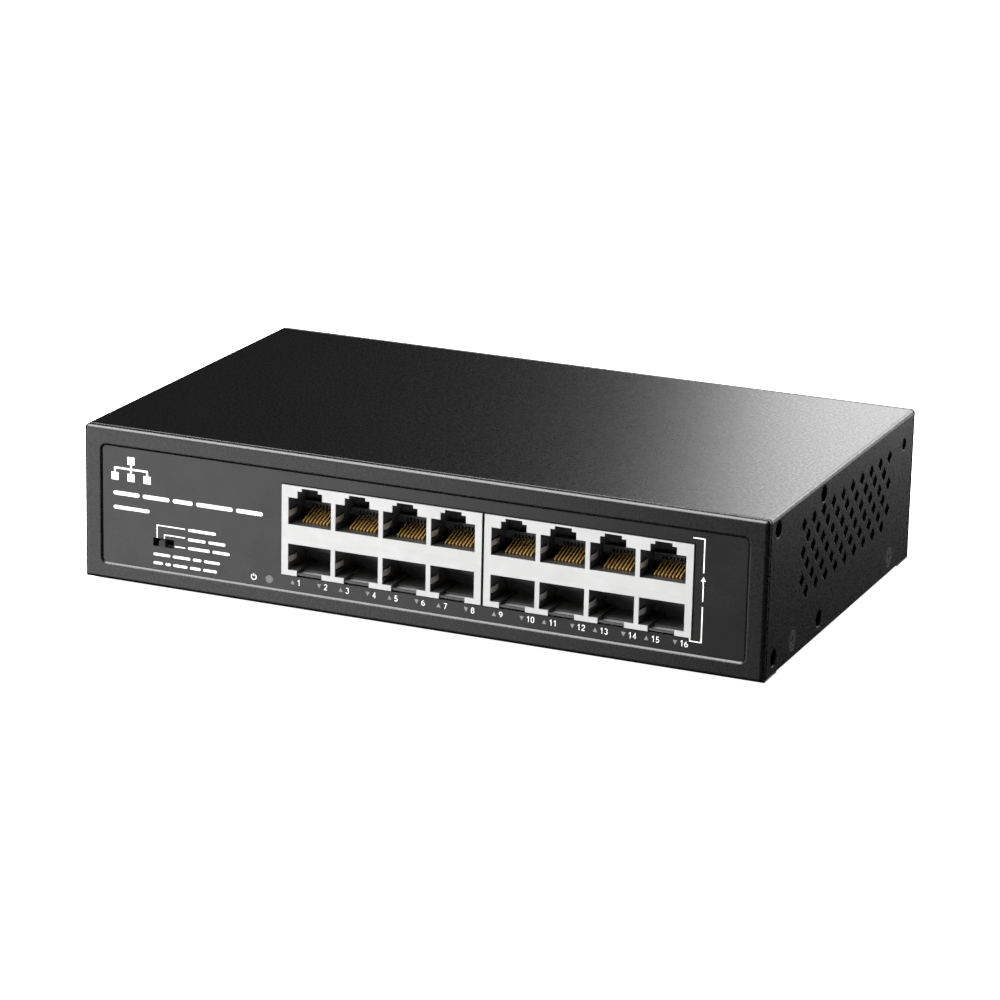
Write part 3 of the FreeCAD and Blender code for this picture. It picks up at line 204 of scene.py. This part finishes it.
def foot_rubber():
    finish = Finish("foot_rubber", (0.016, 0.016, 0.016), 0.8)
    finish.vary_colour(finish.noise(1.2 * MM), 0.3)
    finish.vary_roughness(finish.noise(2 * MM), 0.08)
    finish.bump(finish.noise(0.3 * MM), 0.02 * MM)
    return finish


def black_screw_steel():
    """Blackened steel, mottled lighter and darker."""
    finish = Finish("black_screw_steel", (0.12, 0.12, 0.123), 0.36, metallic=0.9)
    finish.soften_edges(0.12 * MM)
    finish.vary_colour(finish.noise(0.5 * MM), 0.5)
    finish.vary_roughness(finish.noise(0.4 * MM), 0.1)
    finish.bump(finish.noise(0.25 * MM), 0.01 * MM)
    return finish


def zinc_steel():
    finish = plated("zinc_steel", (0.6, 0.61, 0.62), 0.35, stretch=(1, 1, 1))
    finish.bump(finish.spots(0.6 * MM), 0.004 * MM, 0.5)
    return finish


def nickel_shield():
    finish = plated("nickel_shield", (0.58, 0.58, 0.577), 0.62)
    # Painted shade: the shield's colour turns near black where its walls close in, within 5 mm.
    finish.paint_shade_in_hollows(5 * MM, (0.07, 0.07, 0.07))
    finish.set("Metallic", 0.8)
    return finish


def jack_plastic():
    return moulded("jack_plastic", (0.034, 0.034, 0.035), 0.4)


def gold_contact():
    """Gold over nickel, brushed along the contact."""
    finish = Finish("gold_contact", (1.0, 0.56, 0.13), 0.38, metallic=0.45)
    finish.vary_colour(finish.noise(1.0 * MM, stretch=(1, 6, 6)), 0.1)
    # Painted shade: the gold turns dark brown in the hollows under and between the contacts, within 0.9 mm.
    finish.paint_shade_in_hollows(0.9 * MM, (0.05, 0.025, 0.005))
    finish.vary_roughness(finish.noise(0.5 * MM, stretch=(1, 8, 8)), 0.08)
    finish.bump(finish.noise(0.12 * MM, stretch=(1, 8, 8)), 0.002 * MM)
    return finish


def clear_guide():
    """Clear moulded plastic, a little milky where it scatters the lamp's light."""
    finish = Finish("clear_guide", (0.13, 0.13, 0.135), 0.35)
    finish.set("Transmission Weight", 0.4)
    finish.vary_colour(finish.noise(1.2 * MM), 0.08)
    finish.vary_roughness(finish.noise(2 * MM), 0.08)
    finish.bump(finish.noise(0.5 * MM), 0.004 * MM)
    return finish


def lamp_package():
    return moulded("lamp_package", (0.8, 0.8, 0.74), 0.4)


def switch_plastic():
    return moulded("switch_plastic", (0.006, 0.006, 0.006), 0.5)


def board_laminate():
    """Green solder mask with the relief and the lighter green of the copper tracks below it."""
    finish = Finish("board_laminate", (0.01, 0.09, 0.04), 0.3)
    tracks = finish.spread(finish.spots(2.6 * MM, "DISTANCE_TO_EDGE"), 1, 0, 0.04, 0.08)
    colour = finish.blend(tracks, (0.006, 0.06, 0.025), (0.02, 0.15, 0.06))
    finish.join(colour, finish.shader.inputs["Base Color"])
    finish.vary_roughness(finish.noise(3 * MM), 0.06)
    finish.bump(tracks, 0.03 * MM)
    return finish


def chip_resin():
    return moulded("chip_resin", (0.018, 0.018, 0.02), 0.6)


def pad_silicone():
    return moulded("pad_silicone", (0.25, 0.3, 0.38), 0.7)


def bare_aluminium():
    """Extruded aluminium with its long die lines."""
    return plated("bare_aluminium", (0.8, 0.8, 0.82), 0.36, stretch=(1, 12, 12))


def can_metal():
    return plated("can_metal", (0.72, 0.72, 0.73), 0.3, stretch=(1, 1, 8))


def ferrite():
    finish = moulded("ferrite", (0.03, 0.03, 0.034), 0.7)
    finish.bump(finish.noise(0.6 * MM), 0.03 * MM)
    return finish


def capacitor_sleeve():
    """Glossy shrunk sleeve, with soft creases."""
    finish = Finish("capacitor_sleeve", (0.012, 0.014, 0.03), 0.3)
    finish.vary_colour(finish.noise(3 * MM), 0.2)
    finish.vary_roughness(finish.noise(5 * MM), 0.06)
    finish.bump(finish.noise(1.4 * MM), 0.02 * MM)
    return finish


def mains_cap_case():
    return moulded("mains_cap_case", (0.75, 0.48, 0.07), 0.45)


def varistor_epoxy():
    finish = moulded("varistor_epoxy", (0.03, 0.1, 0.4), 0.35)
    finish.bump(finish.noise(2 * MM), 0.08 * MM)
    return finish


def fuse_glass():
    finish = moulded("fuse_glass", (0.8, 0.82, 0.82), 0.1)
    finish.set("Transmission Weight", 0.7)
    return finish


def tape_yellow():
    """Polyester tape, wrapped with small creases."""
    finish = Finish("tape_yellow", (0.8, 0.55, 0.06), 0.28)
    finish.vary_colour(finish.noise(5 * MM), 0.12)
    finish.vary_roughness(finish.noise(2 * MM), 0.08)
    finish.bump(finish.noise(1.5 * MM, stretch=(4, 4, 1)), 0.04 * MM)
    return finish


def insulator():
    return moulded("insulator", (0.55, 0.55, 0.52), 0.45)


def wire_sleeve():
    return moulded("wire_sleeve", (0.5, 0.02, 0.02), 0.4)


def connector_nylon():
    return moulded("connector_nylon", (0.72, 0.7, 0.62), 0.45)


def inlet_plastic():
    return moulded("inlet_plastic", (0.013, 0.013, 0.014), 0.42)


def tinned_brass():
    return plated("tinned_brass", (0.72, 0.71, 0.68), 0.3, stretch=(1, 8, 1))


SLOT_FINISHES = (
    black_powder_coat, label_film, foot_rubber, black_screw_steel, zinc_steel, nickel_shield, jack_plastic,
    gold_contact, clear_guide, lamp_package, switch_plastic, board_laminate, chip_resin, pad_silicone,
    bare_aluminium, can_metal, ferrite, capacitor_sleeve, mains_cap_case, varistor_epoxy, fuse_glass,
    tape_yellow, insulator, wire_sleeve, connector_nylon, inlet_plastic, tinned_brass,
)


def white_ink():
    """Screen-printed white ink, a little uneven in cover."""
    finish = Finish("white_ink", (0.72, 0.72, 0.71), 0.5)
    finish.vary_colour(finish.noise(0.5 * MM), 0.08)
    finish.vary_roughness(finish.noise(1 * MM), 0.08)
    finish.bump(finish.noise(0.15 * MM), 0.003 * MM)
    return finish


def window_ink():
    """The grey ink of the lamp windows, unlit."""
    finish = Finish("window_ink", (0.13, 0.13, 0.135), 0.4)
    finish.vary_colour(finish.noise(0.6 * MM), 0.15)
    finish.vary_roughness(finish.noise(1 * MM), 0.06)
    finish.bump(finish.noise(0.2 * MM), 0.003 * MM)
    return finish


def dress_nodes():
    """Give every CAD node the finish whose function has its slot's name."""
    finishes = {make.__name__: make().material for make in SLOT_FINISHES}
    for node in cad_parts.values():
        for material_slot in node.material_slots:
            material_slot.material = finishes[material_slot.material.name.split(".")[0]]


# ---- Outlines ----
# An outline is a list of points on an upright wall, each across along x and up along z.

SHARPEST_MITRE = 0.3
ROUND_END_STEPS = 6


def arc(centre, radius, start, end, steps):
    """Points from one angle to another, in degrees."""
    angles = [math.radians(start + (end - start) * step / steps) for step in range(steps + 1)]
    return [(centre[0] + radius * math.cos(angle), centre[1] + radius * math.sin(angle)) for angle in angles]


def circle(centre, radius, steps):
    """A circle as the paths of its two halves."""
    return [arc(centre, radius, 0, 180, steps), arc(centre, radius, 180, 360, steps)]


def bar(left, up, length, height):
    """A bar with round ends, by its left end and its middle height."""
    radius = height / 2
    right_end = arc((left + length - radius, up), radius, -90, 90, ROUND_END_STEPS)
    left_end = arc((left + radius, up), radius, 90, 270, ROUND_END_STEPS)
    return right_end + left_end


def square(centre, half):
    across, up = centre
    return [(across - half, up - half), (across + half, up - half), (across + half, up + half),
            (across - half, up + half)]


def ribbon(points, width):
    """The outline of a strip along a path, with mitred corners."""
    path = [Vector(point) for point in points]
    ways = [(after - before).normalized() for before, after in zip(path, path[1:])]
    left_side = []
    right_side = []
    for point, arriving, leaving in zip(path, ways[:1] + ways, ways + ways[-1:]):
        along = (arriving + leaving).normalized()
        across = Vector((-along.y, along.x))
        reach = width / 2 / max(along.dot(arriving), SHARPEST_MITRE)
        left_side.append(tuple(point + across * reach))
        right_side.append(tuple(point - across * reach))
    return left_side + right_side[::-1]


# ---- Numerals ----

DIGIT_PITCH = 0.74


def digit_strokes(digit):
    """A digit's strokes, as paths in a cell one unit high and a little over half a unit wide."""
    hook = arc((0.55, 0.36), 0.55, 180, 108, 8)
    bowl = circle((0.28, 0.28), 0.26, 10)
    strokes = {
        "0": [[(0.52, 0.5)] + arc((0.28, 0.73), 0.24, 0, 180, 10) + [(0.04, 0.5)],
              [(0.04, 0.5)] + arc((0.28, 0.27), 0.24, 180, 360, 10) + [(0.52, 0.5)]],
        "1": [[(0.06, 0.76), (0.3, 0.97), (0.3, 0)]],
        "2": [arc((0.28, 0.72), 0.25, 165, -38, 12) + [(0.04, 0.05), (0.55, 0.05)]],
        "3": [arc((0.27, 0.74), 0.22, 155, -90, 12), arc((0.27, 0.27), 0.25, 90, -155, 12)],
        "4": [[(0.42, 0), (0.42, 0.94), (0.05, 0.28), (0.56, 0.28)]],
        "5": [[(0.5, 0.95), (0.13, 0.95), (0.08, 0.49)] + arc((0.27, 0.29), 0.26, 118, -150, 12)],
        "6": bowl + [hook],
        "7": [[(0.03, 0.95), (0.53, 0.95), (0.2, 0)]],
        "8": circle((0.28, 0.74), 0.21, 10) + bowl,
        "9": [[(0.56 - across, 1 - up) for across, up in path] for path in bowl + [hook]],
    }
    return strokes[digit]


def numeral(text, left, up, height, line):
    """The outlines of a number, by its left end and its middle height."""
    outlines = []
    for place, digit in enumerate(text):
        origin = Vector((left + place * DIGIT_PITCH * height, up - height / 2))
        for path in digit_strokes(digit):
            outlines.append(ribbon([origin + Vector(point) * height for point in path], line))
    return outlines


# ---- Printed pieces ----

INK = 0.03 * MM


def new_piece(name, mesh, material):
    """An object attached to the housing, in that material."""
    mesh.materials.append(material)
    piece = bpy.data.objects.new(name, mesh)
    bpy.context.scene.collection.objects.link(piece)
    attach(piece, "housing")


def printed(name, outlines, face, outward, material):
    """Thin flat solids of ink on the wall at that face; outward is the way from it along y, 1 or -1."""
    shape = bmesh.new()
    for outline in outlines:
        rings = []
        for depth in (face, face + outward * INK):
            rings.append([shape.verts.new((across, depth, up)) for across, up in outline])
        inner, outer = rings
        shape.faces.new(inner)
        shape.faces.new(list(reversed(outer)))
        count = len(outline)
        for index in range(count):
            after = (index + 1) % count
            shape.faces.new((inner[index], outer[index], outer[after], inner[after]))
    bmesh.ops.recalc_face_normals(shape, faces=shape.faces)
    mesh = bpy.data.meshes.new(name)
    shape.to_mesh(mesh)
    shape.free()
    new_piece(name, mesh, material)


# ---- Marks ----
# Places across are measured from the middle of the case, and places up from its bottom.

# Below each column of ports are two lamp windows, LAMP_PAIR apart. LAMP_PITCH is the distance from one
# column to the next, and LAMP_BLOCKS is where the first window of each jack block is.
LAMP_PITCH = 14.5 * MM
LAMP_PAIR = 8.0 * MM
LAMP_BLOCKS = (-36.0 * MM, 23.65 * MM)
LAMP_COLUMNS = 4
LAMP_UP = CASE_BOTTOM + 7.5 * MM
LAMP_HALF = 0.62 * MM
NUMERAL_HEIGHT = 1.6 * MM
NUMERAL_LINE = 0.17 * MM
NUMERAL_GAP = 1.5 * MM
LEADER_LINE = 0.3 * MM


def lamp_places():
    """Where each port's lamp window is, from port 1 to port 16."""
    for first in LAMP_BLOCKS:
        for column in range(LAMP_COLUMNS):
            for pair in (0, 1):
                yield first + column * LAMP_PITCH + pair * LAMP_PAIR


def lamp_windows(material):
    """A triangle for each port's lamp, pointing up for the upper row of ports and down for the lower."""
    triangles = []
    for index, across in enumerate(lamp_places()):
        tip = LAMP_HALF if index % 2 == 0 else -LAMP_HALF
        triangles.append([(across - LAMP_HALF, LAMP_UP - tip), (across + LAMP_HALF, LAMP_UP - tip),
                          (across, LAMP_UP + tip)])
    printed("lamp_windows", triangles, LABEL_FACE, -1, material)


def port_numbers():
    """Each port's number, to the right of its lamp window."""
    outlines = []
    for index, across in enumerate(lamp_places()):
        outlines += numeral(str(index + 1), across + NUMERAL_GAP, LAMP_UP, NUMERAL_HEIGHT, NUMERAL_LINE)
    return outlines


def network_symbol():
    """A plain sign for a network: one square above three, joined by lines."""
    line = 0.55 * MM
    half = 1.1 * MM
    rise = 2.4 * MM
    spacing = 5.0 * MM
    left = -90.6 * MM
    middle = left + spacing
    right = left + 2 * spacing
    up = CASE_BOTTOM + 32.6 * MM
    roots = up + rise - half
    tips = up - rise + half
    outlines = [square((middle, up + rise), half)]
    outlines += [square((left + index * spacing, up - rise), half) for index in range(3)]
    outlines.append(ribbon([(middle, roots), (middle, up + line / 2)], line))
    outlines.append(ribbon([(left, tips), (left, up), (right, up), (right, tips)], line))
    outlines.append(ribbon([(middle, up - line / 2), (middle, tips)], line))
    return outlines


def text_bars(left, up, height, lengths, space):
    """A line of plain bars in place of words."""
    bars = []
    for length in lengths:
        bars.append(bar(left, up, length, height))
        left += length + space
    return bars


def label_bars():
    """The bars that stand for the label's words. A row is its left end, its place up, its height, its bars'
    lengths and the space between them, in millimetres."""
    rows = (
        (-91.2, 25.4, 1.15, (8.2, 8.3, 6.2, 11.2, 8.2), 1.0),
        (-91.1, 21.3, 1.0, (11.2,), 1.0),
        (-68.0, 17.7, 0.8, (8.6,), 0.9),
        (-68.0, 15.0, 0.8, (5.4, 5.2), 0.9),
        (-68.0, 12.5, 0.8, (6.7, 5.2), 0.9),
        (-78.7, 9.4, 0.75, (5.2, 5.4, 2.6, 4.9), 0.8),
        (-78.7, 6.9, 0.75, (2.9, 1.6, 4.4, 3.3, 4.2), 0.8),
    )
    bars = []
    for left, up, height, lengths, space in rows:
        bars += text_bars(left * MM, CASE_BOTTOM + up * MM, height * MM,
                          [length * MM for length in lengths], space * MM)
    return bars


def mode_lines():
    """Leader lines from the mode switch's three positions to their marks: two rise from the slot's top and
    turn right, and the lowest starts at the slot's right end."""
    end = -68.9 * MM
    slot_top = CASE_BOTTOM + 14.15 * MM
    slot_right = -72.1 * MM
    lowest = CASE_BOTTOM + 12.4 * MM
    outlines = []
    for across, rise in ((-77.55 * MM, 17.8 * MM), (-75.3 * MM, 15.3 * MM)):
        turn = CASE_BOTTOM + rise
        outlines.append(ribbon([(across, slot_top), (across, turn), (end, turn)], LEADER_LINE))
    outlines.append(ribbon([(slot_right, lowest), (end, lowest)], LEADER_LINE))
    return outlines


def power_symbol():
    """The usual sign for power, a ring with a stroke in the gap at its top."""
    across = -47.8 * MM
    up = CASE_BOTTOM + 7.3 * MM
    radius = 0.75 * MM
    half_gap = 35
    line = 0.22 * MM
    ring = ribbon(arc((across, up), radius, 90 + half_gap, 450 - half_gap, steps=20), line)
    stroke = ribbon([(across, up + 0.2 * MM), (across, up + 1.0 * MM)], line)
    return [ring, stroke]


def uplink_bracket():
    """The bracket beside the last ports, with an arrow in its gap."""
    left = 79.2 * MM
    right = 82.4 * MM
    low, gap_low, gap_high, high = (CASE_BOTTOM + up * MM for up in (8.5, 18.3, 27.5, 36.7))
    hook = low + 0.8 * MM
    middle = (gap_low + gap_high) / 2
    reach = 3.2 * MM
    head = 0.85 * MM
    head_half = 0.8 * head
    head_base = middle + reach - head
    head_tip = head_base + 1.4 * head
    tail = middle - reach
    return [
        ribbon([(left, high), (right, high), (right, gap_high)], LEADER_LINE),
        ribbon([(right, gap_low), (right, low), (left, low), (left, hook)], LEADER_LINE),
        ribbon([(right, tail), (right, head_base)], LEADER_LINE),
        [(right - head_half, head_base), (right + head_half, head_base), (right, head_tip)],
    ]


def earth_symbol():
    """The protective earth sign beside its screw: a ring, just open at its sides, round a stem and bars."""
    across = 42.5 * MM
    up = CASE_BOTTOM + 12.4 * MM
    radius = 2.6 * MM
    half_ring = 178
    line = 0.35 * MM
    stem_top = up + 1.8 * MM
    stem_foot = up + 0.1 * MM
    first_bar = up - 0.1 * MM
    bar_pitch = 0.65 * MM
    outlines = []
    for start in (0, 180):
        outlines.append(ribbon(arc((across, up), radius, start, start + half_ring, steps=16), line))
    outlines.append(ribbon([(across, stem_top), (across, stem_foot)], line))
    for index, half in enumerate((1.5 * MM, 1.0 * MM, 0.5 * MM)):
        level = first_bar - index * bar_pitch
        outlines.append(ribbon([(across - half, level), (across + half, level)], line))
    return outlines


def print_marks():
    """The marks, as one piece for each kind, each only as thick as its ink."""
    ink = white_ink().material
    lamp_windows(window_ink().material)
    printed("port_numbers", port_numbers(), LABEL_FACE, -1, ink)
    marks = network_symbol() + label_bars() + mode_lines() + power_symbol() + uplink_bracket()
    printed("label_marks", marks, LABEL_FACE, -1, ink)
    printed("earth_mark", earth_symbol(), REAR_FACE, 1, ink)


# ---- Studio ----

CAMERA_PLACE = Vector((0.40962, -0.96631, 0.33641))
CAMERA_AIM = Vector((-0.00303, 0.00289, 0.01958))
CAMERA_ROLL = math.radians(1.283)
CAMERA_LENS = 140.25
CAMERA_SENSOR = 36.0
NEAREST_SEEN = 0.01
FURTHEST_SEEN = 50

FLOOR_HALF = 6
FLOOR_CELLS = 8
PALE = (1, 1, 1, 1)
ROOM_BRIGHTNESS = 0.01


def camera():
    """The photograph's view, solved from the corners of the case."""
    data = bpy.data.cameras.new("camera")
    data.lens = CAMERA_LENS
    data.sensor_width = CAMERA_SENSOR
    data.clip_start = NEAREST_SEEN
    data.clip_end = FURTHEST_SEEN
    item = bpy.data.objects.new("camera", data)
    bpy.context.scene.collection.objects.link(item)
    look = (CAMERA_AIM - CAMERA_PLACE).to_track_quat("-Z", "Y")
    item.matrix_world = (Matrix.Translation(CAMERA_PLACE) @ look.to_matrix().to_4x4()
                         @ Matrix.Rotation(CAMERA_ROLL, 4, "Z"))
    bpy.context.scene.camera = item


def soft_light(name, place, aim, size, radiance):
    """A square-edged softbox by its centre, the point it faces, its two sides and its brightness."""
    data = bpy.data.lights.new(name, "AREA")
    data.shape = "RECTANGLE"
    data.size, data.size_y = size
    data.energy = radiance * math.pi * size[0] * size[1]
    item = bpy.data.objects.new(name, data)
    item.location = place
    item.rotation_euler = (Vector(aim) - Vector(place)).to_track_quat("-Z", "Y").to_euler()
    item.visible_camera = False
    bpy.context.scene.collection.objects.link(item)


def lights():
    """The first four light the front and the jacks, and the top and the side mirror the rear ones."""
    base = (0, 0, 0)
    middle = (0, 0, 0.02)
    upper = (0, 0, 0.03)
    soft_light("overhead", (-0.56, -0.43, 1.32), base, size=(1.4, 1.2), radiance=13.0)
    soft_light("front_top", (-0.56, -1.05, 0.93), base, size=(1.0, 0.6), radiance=6.0)
    soft_light("front_left", (-1.04, -1.1, -0.2), middle, size=(1.2, 1.1), radiance=2.8)
    soft_light("front_right", (0.75, -1.5, 0.3), middle, size=(0.9, 0.7), radiance=0.3)
    soft_light("rear", (0.08, 1.35, 0.5), upper, size=(1.0, 0.6), radiance=4.0)
    soft_light("rear_right", (0.8, 1.35, 0.62), upper, size=(0.5, 0.5), radiance=9.0)
    soft_light("rear_right_low", (0.76, 1.25, -0.12), middle, size=(0.8, 0.35), radiance=2.2)


def floor():
    """A plain pale table that glows a little, as a light table does."""
    shape = bmesh.new()
    bmesh.ops.create_grid(shape, x_segments=FLOOR_CELLS, y_segments=FLOOR_CELLS, size=FLOOR_HALF)
    mesh = bpy.data.meshes.new("floor")
    shape.to_mesh(mesh)
    shape.free()
    mesh.transform(Matrix.Translation((0, 0, FOOT_LEVEL)))
    finish = Finish("floor_paint", (0.8, 0.8, 0.8), 0.9)
    finish.vary_colour(finish.noise(0.8), 0.01)
    finish.set("Emission Color", PALE)
    finish.set("Emission Strength", 1.0)
    mesh.materials.append(finish.material)
    item = bpy.data.objects.new("floor", mesh)
    bpy.context.scene.collection.objects.link(item)
    item.visible_glossy = False
    item.visible_shadow = False


def surroundings():
    """A dim studio round the object, and the same pale tone as the floor where the camera sees past it."""
    world = bpy.data.worlds.new("studio")
    world.use_nodes = True
    bpy.context.scene.world = world
    tree = world.node_tree
    room = tree.nodes["Background"]
    room.inputs["Color"].default_value = PALE
    room.inputs["Strength"].default_value = ROOM_BRIGHTNESS
    backdrop = tree.nodes.new("ShaderNodeBackground")
    backdrop.inputs["Color"].default_value = PALE
    mix = tree.nodes.new("ShaderNodeMixShader")
    ray = tree.nodes.new("ShaderNodeLightPath")
    factor, lighting, seen = mix.inputs
    tree.links.new(ray.outputs["Is Camera Ray"], factor)
    tree.links.new(room.outputs["Background"], lighting)
    tree.links.new(backdrop.outputs["Background"], seen)
    tree.links.new(mix.outputs["Shader"], tree.nodes["World Output"].inputs["Surface"])
    bpy.context.scene.view_settings.view_transform = "Standard"


dress_nodes()
print_marks()
camera()
lights()
floor()
surroundings()
